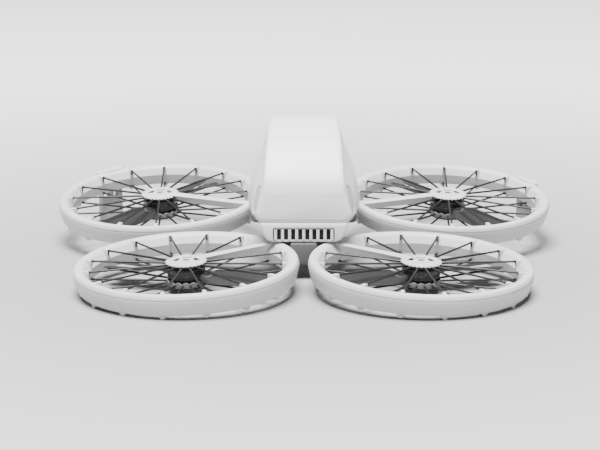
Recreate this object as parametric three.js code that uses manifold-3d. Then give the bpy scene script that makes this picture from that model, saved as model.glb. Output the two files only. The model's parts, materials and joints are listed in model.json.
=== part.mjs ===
// Palm-sized folding drone with four round propeller guards.
// Millimetres, +Z up, +Y forward (towards the camera gimbal), +X to the right.
// The origin is on the floor, under the middle of the object.
import * as THREE from 'three';
import { mergeVertices } from 'three/addons/utils/BufferGeometryUtils.js';
import Module from 'manifold-3d';

const wasm = await Module();
wasm.setup();

// ---------- driving dimensions ----------

const GAP = 0.3; // clearance between pieces that touch
const STEPS = 32; // facets round a guard ring
const SPOKES = 16; // spoke positions round a guard, one of them taken by the arm
const PITCH = 360 / SPOKES; // degrees from one spoke to the next

// Guard: heights are measured down from the plane of the ring's top edge.
const GUARD = {
  outer: 57.8, // outside radius
  inner: 50.0, // radius of the duct wall
  tip: 50.3, // radius of the spoke seats on the gussets
  height: 10.8,
  tooth: 12.8, // depth of the teeth under the ring
};
const SPOKE = { width: 1.0, top: -0.4, low: -9.9, end: 49.6 };
const HUB = { disc: 10.6, thick: 0.9, base: -0.1 };
const BELL = { outer: 9.7, inner: 8.6, top: -2.0, floor: -7.4, bottom: -8.6 };
const STATOR = { radius: 8.1, top: -0.4, bottom: -6.9 };
const CROWN = { outer: 10.4, inner: 9.4, rim: -9.0, floor: -11.2, bottom: -12.2 };
const PROP = { inner: 10.0, hub: 11.2, tip: 46.6, top: -5.0, bottom: -7.6, pitch: 14, pair: 19 };
const LEG = { width: 13.8, thick: 4.4, radius: 57.5, toe: 5 };

// Where each guard stands. `spin` turns its spokes, `arm` is the spoke position of the arm,
// `droop` lets its outer side hang, `blades` is where its propeller has come to rest.
// `hinge` is a point of its fold axis on the left side.
const ENDS = {
  rear: {
    centre: [60.0, -58.7, 16.3], nose: 3.2, droop: 2.1, spin: -13.4, arm: 3, blades: 111,
    hinge: [-10.45, -22.53, 13.57], axis: [0.5326, -0.6431, -0.5502],
  },
  front: {
    centre: [82.2, 58.7, 27.6], nose: 7.2, droop: 1.8, spin: -1.6, arm: 5, blades: 27,
    hinge: [-25.28, 35.91, 18.74], axis: [-0.3544, -0.9059, 0.2318],
  },
};
const SIDES = { left: -1, right: 1 };
const LEG_ANGLE = { left: 35.4, right: 57.9 }; // the legs differ so that they pass when folded
const KNUCKLE = { radius: 3.0, length: 4.4, lug: 2.2, bore: 1.1, pin: 0.9, back: -125 };

// Body: stations along Y of [y, top height, half width at the top, half width low down].
const STATIONS = [
  [-33.5, 48.0, 21.0, 23.6], [-31.5, 53.5, 20.8, 24.9], [-24, 62.4, 20.3, 26.7],
  [-12, 72.6, 19.6, 28.6], [0, 77.3, 19.0, 29.8], [12, 79.0, 18.4, 30.2],
  [26, 78.2, 17.6, 29.8], [40, 74.6, 16.4, 28.2], [52, 67.5, 14.6, 25.0],
  [60, 58.5, 12.4, 20.5], [63, 49.0, 10.0, 16.5],
];
const BELLY = 30.5; // underside of the wide part of the body
const WALL = 1.6; // thickness of the outer shells
const SPLIT = { y: -12.2, z: 32.4 }; // where the battery meets the canopy and the lower shell
const CHIN = { half: 23.0, back: -33.5, front: -12.5, floor: 20.4 }; // lower rear shell with the vent
const VENT = { half: 15.9, low: 20.9, high: 28.0, ribs: 9 };
const KEEL = { half: 7.2, back: -33.0, front: -25.8, low: 8.0 };
const BAY = { half: 15.5, back: 47, low: 28, high: 57 }; // room for the gimbal in the nose
const CLIP = { at: [-26.5, 42], radii: [4.2, 7.0] }; // battery release, on both sides
const BUTTON = { at: [30, 45], radii: [3.4, 3.4] }; // power button, on the right side
const FLAP = { at: [29, 42], size: [6.5, 3.6] }; // port flap, on the left side
const CAMERA = { x: 0, y: 59, z: 43, yaw: 51.3 };

// ---------- materials ----------

const paint = (color, roughness, metalness = 0) => () =>
  new THREE.MeshStandardMaterial({ color, roughness, metalness });
const shellWhite = paint(0xe9e9e8, 0.45);
const paleGrey = paint(0xb9babb, 0.5);
const darkGrey = paint(0x4a4b4d, 0.55);
const carbon = paint(0x2c2d2f, 0.4);
const black = paint(0x121214, 0.35);
const copper = paint(0xa8743c, 0.4, 0.9);
const steel = paint(0x9a9c9f, 0.3, 0.9);
const glass = paint(0x101418, 0.05);
const board = paint(0x1f5a3a, 0.6);

// ---------- solids ----------

const rad = THREE.MathUtils.degToRad;
const vec = (list) => new THREE.Vector3(...list);

function toSolid(geometry) {
  const bare = geometry.clone();
  bare.deleteAttribute('normal');
  bare.deleteAttribute('uv');
  const merged = mergeVertices(bare, 1e-4);
  const triVerts = new Uint32Array(merged.index.array);
  const vertProperties = new Float32Array(merged.attributes.position.array);
  const solid = new wasm.Manifold(new wasm.Mesh({ numProp: 3, vertProperties, triVerts }));
  if (solid.volume() > 0) return solid;
  return new wasm.Manifold(new wasm.Mesh({ numProp: 3, vertProperties, triVerts: triVerts.reverse() }));
}

function toGeometry(solid) {
  const { vertProperties, triVerts } = solid.getMesh();
  const geometry = new THREE.BufferGeometry();
  geometry.setAttribute('position', new THREE.BufferAttribute(new Float32Array(vertProperties), 3));
  geometry.setIndex(new THREE.BufferAttribute(new Uint32Array(triVerts), 1));
  geometry.computeVertexNormals();
  return geometry;
}

const join = (parts) => parts.map(toSolid).reduce((a, b) => a.add(b));
const cut = (solid, parts) => parts.map(toSolid).reduce((a, b) => a.subtract(b), solid);

function node(name, solid, material, parent) {
  const mesh = new THREE.Mesh(toGeometry(solid), material());
  mesh.name = name;
  parent.add(mesh);
}

const box = (x0, x1, y0, y1, z0, z1) =>
  new THREE.BoxGeometry(x1 - x0, y1 - y0, z1 - z0).translate((x0 + x1) / 2, (y0 + y1) / 2, (z0 + z1) / 2);

// A turned solid on the Z axis, from a closed profile of [radius, height].
function turned(profile, steps) {
  const points = [...profile, profile[0]].map(([r, z]) => new THREE.Vector2(r, z));
  return new THREE.LatheGeometry(points, steps).rotateX(Math.PI / 2);
}

const tube = (inner, outer, low, high, steps = 24) =>
  turned([[inner, low], [outer, low], [outer, high], [inner, high]], steps);

const shapeOf = (points) => new THREE.Shape(points.map(([x, y]) => new THREE.Vector2(x, y)));

// A flat piece extruded upward in Z from a plan outline.
const plate = (shape, low, high, curveSegments = 3) =>
  new THREE.ExtrudeGeometry(shape, { depth: high - low, bevelEnabled: false, curveSegments })
    .translate(0, 0, low);

// A fin that stands on a radius: its outline is [radius, height], and it points along +Y.
const RADIAL = new THREE.Matrix4().makeBasis(vec([0, 1, 0]), vec([0, 0, 1]), vec([1, 0, 0]));
const fin = (points, thick) =>
  plate(shapeOf(points), -thick / 2, thick / 2).applyMatrix4(RADIAL);

// An outline of [x, z] extruded along Y.
const ALONG_Y = new THREE.Matrix4().makeBasis(vec([1, 0, 0]), vec([0, 0, 1]), vec([0, -1, 0]));
const beam = (points, back, front) =>
  plate(shapeOf(points), -front, -back).applyMatrix4(ALONG_Y);

// An outline of [y, z] extruded along X.
const slab = (points, left, right) =>
  plate(shapeOf(points), left, right).applyMatrix4(RADIAL);

// ---------- guards ----------

const spokeAngles = (end) =>
  Array.from({ length: SPOKES }, (_, i) => i).filter((i) => i !== end.arm).map((i) => end.spin + i * PITCH);

function hingeFrame(end, side) {
  const point = vec(end.hinge).multiply(vec([-side, 1, 1]));
  const axis = vec(end.axis).multiply(vec([1, -side, -side])).normalize();
  const centre = vec(end.centre).multiply(vec([side, 1, 1]));
  const outward = centre.sub(point).projectOnPlane(axis).normalize();
  const frame = new THREE.Matrix4().makeBasis(outward, axis.clone().cross(outward), axis);
  return frame.setPosition(point);
}

// A hinge leaf before it is bored: round about the pin, with a web of the given reach along +X.
function leaf(reach, low, high, halfWeb = KNUCKLE.radius) {
  const shape = new THREE.Shape();
  shape.absarc(0, 0, KNUCKLE.radius, Math.PI / 2, Math.PI * 1.5);
  shape.lineTo(reach, -halfWeb);
  shape.lineTo(reach, halfWeb);
  return plate(shape, low, high, 6);
}

const RING_PROFILE = [
  [54.9, 0], [57.0, -0.8], [GUARD.outer, -3.4], [57.1, -7.4], [55.7, -GUARD.height],
  [50.2, -GUARD.height], [GUARD.inner, -4.8], [51.9, -1.5],
];
const GUSSET = [[GUARD.tip, 0], [54.8, -0.1], [54.6, -1.0], [50.9, -5.0], [GUARD.tip, -5.2]];
const TOOTH = [[51.0, -10.4], [55.3, -10.4], [54.4, -GUARD.tooth], [52.6, -GUARD.tooth]];

function guardRing(end, side, inFrame, legAngle) {
  const at = (geometry, angle) => geometry.rotateZ(rad(side * angle));
  const parts = [at(turned(RING_PROFILE, STEPS), end.spin)];
  for (let i = 0; i < SPOKES; i += 1) {
    parts.push(at(fin(TOOTH, 1.8), end.spin + i * PITCH));
  }
  for (const angle of spokeAngles(end)) parts.push(at(fin(GUSSET, 1.2), angle));
  const half = KNUCKLE.length / 2;
  parts.push(leaf(4.8, -half, half).applyMatrix4(inFrame));
  if (legAngle) {
    const boss = new THREE.CylinderGeometry(9.6, 9.0, GUARD.height + 0.2, 14).rotateX(Math.PI / 2);
    boss.scale(1, 0.36, 1).translate(0, LEG.radius, -GUARD.height / 2 + 0.1);
    parts.push(at(boss, -legAngle));
  }
  const bore = new THREE.CylinderGeometry(KNUCKLE.bore, KNUCKLE.bore, 12, 10).rotateX(Math.PI / 2);
  return cut(join(parts), [bore.applyMatrix4(inFrame)]);
}

function spokeCage(angles, side, z, collar) {
  const half = SPOKE.width / 2;
  const rod = () => box(-half, half, collar[0] + 0.4, SPOKE.end, z - SPOKE.width + 0.05, z - 0.05);
  const rods = angles.map((angle) => rod().rotateZ(rad(side * angle)));
  return join([tube(collar[0], collar[1], z - SPOKE.width, z, SPOKES), ...rods]);
}

function armWithDisc(end, side) {
  const rim = Array.from({ length: SPOKES * 2 }, (_, i) => {
    const radius = i % 2 ? HUB.disc - 0.6 : HUB.disc;
    const turn = (i / SPOKES) * Math.PI;
    return [radius * Math.cos(turn), radius * Math.sin(turn)];
  });
  const shape = shapeOf(rim);
  shape.holes.push(new THREE.Path().absarc(0, 0, 2.2, 0, Math.PI * 2));
  for (let i = 0; i < 3; i += 1) {
    const start = rad(i * 120 + 20);
    const slot = new THREE.Path().absarc(0, 0, 6.2, start, start + rad(48));
    slot.absarc(0, 0, 4.4, start + rad(48), start, true);
    shape.holes.push(slot);
  }
  const disc = plate(shape, HUB.base, HUB.base + HUB.thick);
  const outline = [
    [9.4, 0.8], [GUARD.inner - 2 * GAP, -0.6], [GUARD.inner - 2 * GAP, -6.4], [47.7, -6.4],
    [47.3, -4.0], [11.4, -3.4], [11.2, HUB.base], [9.4, HUB.base],
  ];
  const arm = fin(outline, 5).rotateZ(rad(side * (end.spin + end.arm * PITCH)));
  return join([disc, arm]);
}

function motorBell() {
  const { outer, inner, top, floor, bottom } = BELL;
  return toSolid(turned([
    [0, -10.9], [1.0, -10.9], [1.0, bottom], [outer, bottom], [outer, top],
    [inner, top], [inner, floor], [1.0, floor], [1.0, -0.6], [0, -0.6],
  ], 16));
}

function propeller(end, side) {
  const outline = [
    [-3.2, 10.4], [-6.2, 20], [-5.8, 35], [-3.2, 44], [0, PROP.tip],
    [2.8, 44.6], [5.6, 32], [5.8, 18], [3.2, 10.4],
  ];
  const middle = (PROP.top + PROP.bottom) / 2;
  const parts = [tube(PROP.inner, PROP.hub, PROP.bottom, PROP.top, 16)];
  for (const turn of [0, PROP.pair, 180, 180 + PROP.pair]) {
    const blade = plate(shapeOf(outline.map(([x, y]) => [side * x, y])), -0.4, 0.4);
    blade.rotateY(rad(side * PROP.pitch)).translate(0, 0, middle);
    parts.push(blade.rotateZ(rad(side * (end.blades + turn))));
  }
  return join(parts);
}

function landingLeg(end, side, angle, placed) {
  const { width, thick, radius, toe } = LEG;
  const shape = new THREE.Shape();
  shape.moveTo(-width / 2, 26);
  shape.lineTo(-width / 2, toe);
  shape.lineTo(-width / 2 + toe * 0.3, toe * 0.3);
  shape.lineTo(-width / 2 + toe, 0);
  shape.lineTo(width / 2 - toe, 0);
  shape.lineTo(width / 2 - toe * 0.3, toe * 0.3);
  shape.lineTo(width / 2, toe);
  shape.lineTo(width / 2, 26);
  const upright = plate(shape, -thick / 2, thick / 2).rotateX(Math.PI / 2).translate(0, radius, 0);
  upright.rotateZ(rad(-side * angle)).translate(side * end.centre[0], end.centre[1], 0);
  const above = box(-80, 80, -80, 80, -GUARD.height - GAP, 20).applyMatrix4(placed);
  return cut(toSolid(upright), [above]);
}

function addGuard(root, endName, sideName) {
  const end = ENDS[endName];
  const side = SIDES[sideName];
  const tag = `${endName}_${sideName}`;
  const group = new THREE.Group();
  group.position.set(side * end.centre[0], end.centre[1], end.centre[2]);
  group.rotation.set(rad(end.nose), rad(side * end.droop), 0, 'XYZ');
  group.updateMatrix();
  root.add(group);

  const frame = hingeFrame(end, side);
  const inFrame = group.matrix.clone().invert().multiply(frame);
  const legAngle = endName === 'front' ? LEG_ANGLE[sideName] : 0;
  const lowAngles = Array.from({ length: SPOKES }, (_, i) => end.spin + i * PITCH);
  const crown = [
    [0, CROWN.bottom], [CROWN.outer, CROWN.bottom], [CROWN.outer, CROWN.rim],
    [CROWN.inner, CROWN.rim], [CROWN.inner, CROWN.floor], [0, CROWN.floor],
  ];
  node(`guard_ring_${tag}`, guardRing(end, side, inFrame, legAngle), shellWhite, group);
  node(`arm_${tag}`, armWithDisc(end, side), shellWhite, group);
  node(`upper_spokes_${tag}`, spokeCage(spokeAngles(end), side, SPOKE.top, [8.6, 9.7]), carbon, group);
  node(`lower_spokes_${tag}`, spokeCage(lowAngles, side, SPOKE.low, [10.7, 11.8]), carbon, group);
  node(`lower_hub_${tag}`, toSolid(turned(crown, 16)), paleGrey, group);
  const stator = toSolid(tube(1.4, STATOR.radius, STATOR.bottom, STATOR.top, 16));
  node(`motor_stator_${tag}`, stator, copper, group);
  node(`motor_bell_${tag}`, motorBell(), black, group);
  node(`propeller_${tag}`, propeller(end, side), darkGrey, group);

  const long = KNUCKLE.length + 2 * (KNUCKLE.lug + GAP);
  const pin = new THREE.CylinderGeometry(KNUCKLE.pin, KNUCKLE.pin, long, 10).rotateX(Math.PI / 2);
  node(`hinge_pin_${tag}`, toSolid(pin.applyMatrix4(frame)), steel, root);
  if (legAngle) {
    node(`landing_leg_${sideName}`, landingLeg(end, side, legAngle, group.matrix), shellWhite, root);
  }
}

// The two body-side leaves of one fold hinge.
function lugs(end, side, reach) {
  const near = KNUCKLE.length / 2 + GAP;
  const far = near + KNUCKLE.lug;
  return [[-far, -near], [near, far]].map(([low, high]) =>
    leaf(reach, low, high, 2.4).rotateZ(rad(KNUCKLE.back)).applyMatrix4(hingeFrame(end, side)));
}

// ---------- body ----------

// One half of the cross-section at a station, from the middle of the belly to the middle of the top.
function halfSection([, top, upper, lower]) {
  return [
    [0, BELLY], [lower - 4, BELLY], [lower - 1.2, BELLY + 1.2], [lower, BELLY + 5.5],
    [(lower + upper) / 2 + 0.5, (BELLY + 5.5 + top) / 2], [upper + 0.4, top - 3.4],
    [upper - 1.1, top - 1.0], [upper - 4, top - 0.2], [0, top],
  ];
}

// The outer form of the body, or the same form drawn inwards by `inset`.
function bodyForm(inset = 0) {
  const rows = STATIONS.length - 1;
  const form = new THREE.CylinderGeometry(1, 1, 2, 16, rows).rotateX(Math.PI / 2);
  const position = form.attributes.position;
  const middle = 52;
  for (let i = 0; i < position.count; i += 1) {
    const [x, z, v] = [position.getX(i), position.getY(i), position.getZ(i)];
    const station = STATIONS[Math.round(((v + 1) / 2) * rows)];
    const side = Math.abs(x) < 1e-6 ? 0 : Math.sign(x);
    const turn = Math.atan2(Math.abs(x), -z);
    const [w, h] = Math.hypot(x, z) < 0.5 ? [0, (BELLY + station[1]) / 2]
      : halfSection(station)[Math.round((turn / Math.PI) * 8)];
    const across = Math.max(w - inset, 0);
    const depth = w === 0 && Math.hypot(x, z) < 0.5 ? 0 : inset;
    const up = h - THREE.MathUtils.clamp((h - middle) / 8, -1, 1) * depth;
    const along = THREE.MathUtils.clamp(station[0], STATIONS[0][0] + inset, STATIONS[rows][0] - inset);
    position.setXYZ(i, side * across, along, up);
  }
  return form;
}

const chinOutline = (inset, lid) => {
  const { half, floor } = CHIN;
  const w = half - inset;
  return [[-w, lid], [w, lid], [w - 1, 26], [w - 3.2, floor + 1.2 + inset], [w - 4.6, floor + inset],
    [-w + 4.6, floor + inset], [-w + 3.2, floor + 1.2 + inset], [-w + 1, 26]];
};

// The side outline of a flush piece: an ellipse about [y, z], run out along X on one side.
function sideOval([y, z], [ry, rz], side, grow = 0) {
  const oval = new THREE.CylinderGeometry(1, 1, 30, 18).rotateZ(Math.PI / 2);
  return toSolid(oval.scale(1, ry + grow, rz + grow).translate(side * 30, y, z));
}

function shells() {
  const outer = toSolid(bodyForm());
  const inner = toSolid(bodyForm(WALL));
  const skin = outer.subtract(inner);
  const thick = outer.subtract(toSolid(bodyForm(2.4)));
  return { skin, thick };
}

// Battery: a shell that forms the back of the body, with its cells and two release clips.
function addBattery(root, { skin, thick }) {
  const { y, z } = SPLIT;
  const block = toSolid(box(-40, 40, -40, y, z, 90));
  const hole = (side) => sideOval(CLIP.at, CLIP.radii, side, GAP);
  node('battery_shell', skin.intersect(block).subtract(hole(-1)).subtract(hole(1)), shellWhite, root);
  for (const [name, side] of Object.entries(SIDES)) {
    node(`battery_clip_${name}`, thick.intersect(sideOval(CLIP.at, CLIP.radii, side)), paleGrey, root);
  }
  const cells = [[-31, 35.2], [-31, 46], [-24, 57], [-12, 67], [27, 67], [27, 35.2]];
  node('battery_cells', toSolid(slab(cells, -14.5, 14.5)), black, root);
  node('battery_contacts', join([
    box(-9, 9, 28, 30.6, 37, 48), ...[-6, -2, 2, 6].map((x) => box(x - 0.6, x + 0.6, 27.4, 28.4, 38, 47)),
  ]), steel, root);
}

function addCanopy(root, { skin, thick }) {
  const block = toSolid(box(-40, 40, SPLIT.y + GAP, 70, SPLIT.z, 90));
  const { half, back, low, high } = BAY;
  const bay = toSolid(box(-half, half, back, 75, low, high));
  const pane = (grow) => toSolid(box(-8 - grow, 8 + grow, 48, 75, 60 - grow, 66 + grow));
  const button = (grow) => sideOval(BUTTON.at, BUTTON.radii, 1, grow);
  const { at, size } = FLAP;
  const door = (grow) => toSolid(box(
    -45, -15, at[0] - size[0] - grow, at[0] + size[0] + grow, at[1] - size[1] - grow, at[1] + size[1] + grow));
  const canopy = skin.intersect(block).subtract(bay).subtract(pane(GAP)).subtract(button(GAP));
  node('canopy', canopy.subtract(door(GAP)), shellWhite, root);
  node('front_window', thick.intersect(pane(0)), glass, root);
  node('power_button', thick.intersect(button(0)), paleGrey, root);
  node('port_flap', skin.intersect(door(0)), paleGrey, root);
}

function addLowerShell(root, { skin }) {
  const band = toSolid(box(-40, 40, -40, 70, BELLY - 1, SPLIT.z - GAP));
  const bay = toSolid(box(-BAY.half, BAY.half, BAY.back, 75, BAY.low, BAY.high));
  const chin = toSolid(beam(chinOutline(0, BELLY + 0.6), CHIN.back, CHIN.front));
  const room = toSolid(beam(chinOutline(1.5, BELLY + 3), CHIN.back + 1.5, CHIN.front - 1.5));
  const { half, low, high, ribs } = VENT;
  const opening = toSolid(box(-half, half, CHIN.back - 1, CHIN.back + 3, low, high));
  const shell = skin.intersect(band).add(chin);
  node('lower_shell', shell.subtract(room).subtract(opening).subtract(bay), paleGrey, root);

  const step = (2 * (half - 1.1)) / (ribs - 1);
  const [left, right, foot, head] = [-half + GAP, half - GAP, low + GAP, high - GAP];
  const bars = Array.from({ length: ribs }, (_, i) => -half + 1.1 + i * step)
    .map((x) => box(Math.max(x - 0.95, left), Math.min(x + 0.95, right), -33.3, -31.9, foot, head));
  const rails = [[foot, foot + 0.7], [head - 0.7, head]].map(
    ([low, high]) => box(left, right, -33.2, -31.9, low, high));
  node('vent_grille', join([...rails, ...bars]), shellWhite, root);

  const fins = Array.from({ length: 9 }, (_, i) => box(-14.2 + i * 3.4, -13 + i * 3.4, -30, -16, 23, 29));
  node('heat_sink', join([box(-14.2, 14.2, -30, -16, 28.6, 30.2), ...fins]), steel, root);
  node('main_board', join([
    box(-18, 18, -10, 42.8, 32.6, 33.6), box(-7, 7, 2, 16, 33.4, 34.6), box(-14, -9, 22, 30, 33.4, 34.4),
    box(9, 15, -4, 6, 33.4, 34.4),
  ]), board, root);
  node('belly_sensor_bar', toSolid(box(-8, 8, -4, 22, 28.4, BELLY - GAP)), glass, root);
}

function addBrackets(root) {
  const both = (end, reach) => Object.values(SIDES).flatMap((side) => lugs(end, side, reach));
  const { half, back, front, low } = KEEL;
  const top = CHIN.floor - GAP;
  const outline = [[-half + 2, low], [half - 2, low], [half, 15], [half, top], [-half, top], [-half, 15]];
  const foot = beam(outline, back, front);
  const saddle = box(-8.2, 8.2, front - 2, -19.5, 17, top);
  const rear = join([foot, saddle, ...both(ENDS.rear, 6.5)]);
  const cheeks = [-1, 1].map((side) => {
    const [x0, x1] = [side * 17.6, side * 22.6].sort((a, b) => a - b);
    return box(x0, x1, 30, 42, 21.5, BELLY - GAP);
  });
  const cradle = join([
    box(-22.6, 22.6, 30, 42, 28.2, BELLY - GAP), ...cheeks, ...both(ENDS.front, 7.5),
  ]);
  const pins = Object.values(ENDS).map((end) => Object.values(SIDES).map((side) =>
    new THREE.CylinderGeometry(KNUCKLE.bore, KNUCKLE.bore, 12, 10).rotateX(Math.PI / 2)
      .applyMatrix4(hingeFrame(end, side))));
  const above = box(-30, 30, -40, 0, top, top + 20);
  node('rear_hinge_bracket', cut(rear, [...pins[0], above]), darkGrey, root);
  node('front_hinge_bracket', cut(cradle, pins[1]), darkGrey, root);
}

// Gimbal: yaw about Z, then roll about Y, then pitch about X, which carries the camera.
function addGimbal(root) {
  const { x, y, z } = CAMERA;
  const disc = (radius, length, turn) =>
    new THREE.CylinderGeometry(radius, radius, length, 20).rotateX(turn === 'z' ? Math.PI / 2 : 0)
      .rotateZ(turn === 'x' ? Math.PI / 2 : 0);
  node('nose_frame', join([
    box(-13.5, 13.5, 43.4, 44.8, 33.0, 58.9), box(-10, 10, 44, 56.0, 57.3, 58.9),
    disc(4.6, 4.4, 'z').translate(x, CAMERA.yaw, 55.2),
  ]), black, root);
  node('gimbal_yaw_arm', join([
    disc(4.6, 1.8, 'z').translate(x, CAMERA.yaw, 51.8), box(-3, 3, 47.0, CAMERA.yaw, 50.9, 52.7),
    box(-3, 3, 47.0, 49.0, z, 52.7), disc(4.6, 2.0, 'y').translate(x, 48.0, z),
  ]), paleGrey, root);
  node('gimbal_roll_arm', join([
    box(-11.6, 3.6, 49.4, 51.4, z - 2.8, z + 2.8), disc(4.2, 2.0, 'y').translate(x, 50.4, z),
    box(-11.6, -9.6, 49.4, y + 3.4, z - 2.8, z + 2.8),
  ]), paleGrey, root);
  node('camera_housing', join([
    disc(6.8, 15, 'x').translate(x, y, z), disc(3.4, 2.4, 'x').translate(x - 8.0, y, z),
    box(-5.5, 5.5, y, y + 7.6, z - 4.8, z + 4.8),
  ]), darkGrey, root);
  node('camera_lens', toSolid(disc(3.8, 1.2, 'y').translate(x, y + 8.5, z)), glass, root);
}

const root = new THREE.Group();
for (const endName of Object.keys(ENDS)) {
  for (const sideName of Object.keys(SIDES)) addGuard(root, endName, sideName);
}
const forms = shells();
addBattery(root, forms);
addCanopy(root, forms);
addLowerShell(root, forms);
addBrackets(root);
addGimbal(root);

export default root;
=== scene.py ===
"""Looks for a palm-sized folding drone with four full propeller guards.

Shapes are drawn in millimetres and scaled to metres when a piece is finished. A guard's own frame
has its origin at the middle of the ring's top edge, Z along the propeller's axis and Y forward.
"""
import json
from math import asin, atan2, cos, degrees, radians, sin, sqrt, tau

import bmesh
import bpy
from mathutils import Matrix, Vector


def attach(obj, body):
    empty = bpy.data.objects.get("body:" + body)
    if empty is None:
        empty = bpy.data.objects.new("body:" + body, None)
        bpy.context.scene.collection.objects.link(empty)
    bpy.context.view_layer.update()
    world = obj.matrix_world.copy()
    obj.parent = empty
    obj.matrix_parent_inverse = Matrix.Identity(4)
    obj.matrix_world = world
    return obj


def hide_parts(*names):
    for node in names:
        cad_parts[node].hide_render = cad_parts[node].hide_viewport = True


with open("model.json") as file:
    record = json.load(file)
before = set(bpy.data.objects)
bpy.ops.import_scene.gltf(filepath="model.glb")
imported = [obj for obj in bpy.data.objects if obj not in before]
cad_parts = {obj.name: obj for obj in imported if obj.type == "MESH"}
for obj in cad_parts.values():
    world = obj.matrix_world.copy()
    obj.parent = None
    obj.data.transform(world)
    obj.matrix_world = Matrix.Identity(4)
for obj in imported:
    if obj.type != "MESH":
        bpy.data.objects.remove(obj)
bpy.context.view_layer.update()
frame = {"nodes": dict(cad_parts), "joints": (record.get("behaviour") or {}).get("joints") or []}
JOINTS = {joint["name"]: joint for joint in frame["joints"]}
MM = 0.001

# ---------- driving dimensions ----------

SIDES = {"left": -1, "right": 1}
SPOKES = 16
PITCH = 360 / SPOKES
# Angles are in degrees about a guard's Z from straight ahead, mirrored on the left side: the first spoke
# and the first blade. "arm" is the place among the spokes that the arm takes.
ENDS = {
    "rear": {"spin": -13.4, "arm": 3, "blades": 111, "hand": -1},
    "front": {"spin": -1.6, "arm": 5, "blades": 27, "hand": 1},
}
LEG_ANGLE = {"left": 35.4, "right": 57.9}
RING_INNER, RING_HEIGHT = 50.0, 10.8
SEAT = 50.3
ROD, HOOK, HOOK_DROP, HOOK_LEAN = 0.54, 0.5, 2.6, -82
HUB_DISC = 10.6
BLADE_ROOT, BLADE_TIP, BLADE_PAIR, BLADE_PITCH = 9.5, 46.6, 12, 14
BLADE_CHORD, BLADE_THICK, BLADE_Z = 5.9, 0.85, -6.2
KNUCKLE, LEAF, LUG, GAP = 3.0, 4.4, 2.2, 0.3
LEAF_REACH, LUG_TURN = 4.8, -125
LEG_WIDTH, LEG_THICK, LEG_RADIUS, LEG_TOE = 13.8, 4.4, 57.5, 5
POCKETS, POCKET_DROP = ((3.6, 2.1), (-2.5, 1.5)), 1.4  # middle and half width of each, from the leg's middle

BELLY, SHELL = 30.5, 1.6
SEAM_Y, SEAM_Z = -12.2, 32.4
BACK, NOSE = -33.5, 63.0
STATIONS = [  # y, height of the top, half width at the top, half width low down
    (-33.5, 48.0, 21.0, 23.6), (-31.5, 53.5, 20.8, 24.9), (-24, 62.4, 20.3, 26.7),
    (-12, 72.6, 19.6, 28.6), (0, 77.3, 19.0, 29.8), (12, 79.0, 18.4, 30.2),
    (26, 78.2, 17.6, 29.8), (40, 74.6, 16.4, 28.2), (52, 67.5, 14.6, 25.0),
    (60, 58.5, 12.4, 20.5), (63, 49.0, 10.0, 16.5),
]
CHIN_HALF, CHIN_FLOOR, CHIN_FRONT, CHIN_WALL = 23.0, 20.4, -12.5, 1.5
VENT_HALF, VENT_LOW, VENT_HIGH, VENT_RIBS = 15.9, 20.9, 28.0, 9
CLIP_AT, CLIP_SIZE, CLIP_GAP = (-26.5, 42.0), (4.2, 7.0), 0.55
BUTTON_AT, BUTTON_SIZE = (30.0, 45.0), (3.4, 3.4)
FLAP_AT, FLAP_SIZE = (29.0, 42.0), (6.5, 3.6)
BAY_HALF, BAY_BACK, BAY_LOW, BAY_HIGH = 15.5, 47.0, 28.0, 57.0
PAST, OVER = 40, 90  # half width and height of the blocks that reach past the body
EASE = (0.22, 2, 55)  # how the shells' edges are softened
CAMERA, YAW_Y = Vector((0, 59, 43)), 51.3


# ---------- finishes ----------

class Tone:
    """A value inside a material. Arithmetic on it adds the nodes that work it out."""

    def __init__(self, pot, socket):
        self.pot, self.socket = pot, socket

    def _with(self, operation, first, second):
        return self.pot.node("ShaderNodeMath", {"operation": operation}, {0: first, 1: second})

    def __add__(self, other):
        return self._with("ADD", self, other)

    def __radd__(self, other):
        return self._with("ADD", other, self)

    def __sub__(self, other):
        return self._with("SUBTRACT", self, other)

    def __mul__(self, other):
        return self._with("MULTIPLY", self, other)

    def __rmul__(self, other):
        return self._with("MULTIPLY", other, self)


class Pot:
    """One finish: a Principled surface and the nodes that feed it."""

    def __init__(self, name, **fixed):
        self.material = bpy.data.materials.new(name)
        self.material.use_nodes = True
        self.tree = self.material.node_tree
        self.surface = self.tree.nodes["Principled BSDF"]
        for socket, value in fixed.items():
            self.surface.inputs[socket.replace("_", " ")].default_value = value

    def node(self, kind, settings, inputs, output=0):
        step = self.tree.nodes.new(kind)
        for name, value in settings.items():
            setattr(step, name, value)
        for name, value in inputs.items():
            self.feed(step.inputs[name], value)
        return Tone(self, step.outputs[output])

    def feed(self, socket, value):
        if isinstance(value, Tone):
            self.tree.links.new(value.socket, socket)
        else:
            socket.default_value = value

    def place(self):
        return self.node("ShaderNodeTexCoord", {}, {}, "Object")

    def local(self):
        return self.node("ShaderNodeAttribute", {"attribute_name": "local"}, {}, "Vector")

    def noise(self, scale, detail=3.0, where=None):
        return self.node("ShaderNodeTexNoise", {},
                         {"Vector": where or self.place(), "Scale": scale, "Detail": detail}, "Fac")

    def grain(self, scale, where=None):
        return self.node("ShaderNodeTexVoronoi", {},
                         {"Vector": where or self.place(), "Scale": scale}, "Distance")

    def between(self, mask, low, high):
        return self.node("ShaderNodeMix", {"data_type": "RGBA"}, {0: mask, 6: low, 7: high}, 2)

    def steps(self, value, low, high):
        return self.node("ShaderNodeMapRange", {}, {0: value, 1: low, 2: high})

    def set(self, **inputs):
        for socket, value in inputs.items():
            self.feed(self.surface.inputs[socket.replace("_", " ")], value)

    def bump(self, height, strength, distance=0.0001):
        self.set(Normal=self.node("ShaderNodeBump", {},
                                  {"Height": height, "Strength": strength, "Distance": distance}))


def shade(*rgb):
    return (*rgb, 1.0)


def grey(value):
    return shade(value, value, value)


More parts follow.
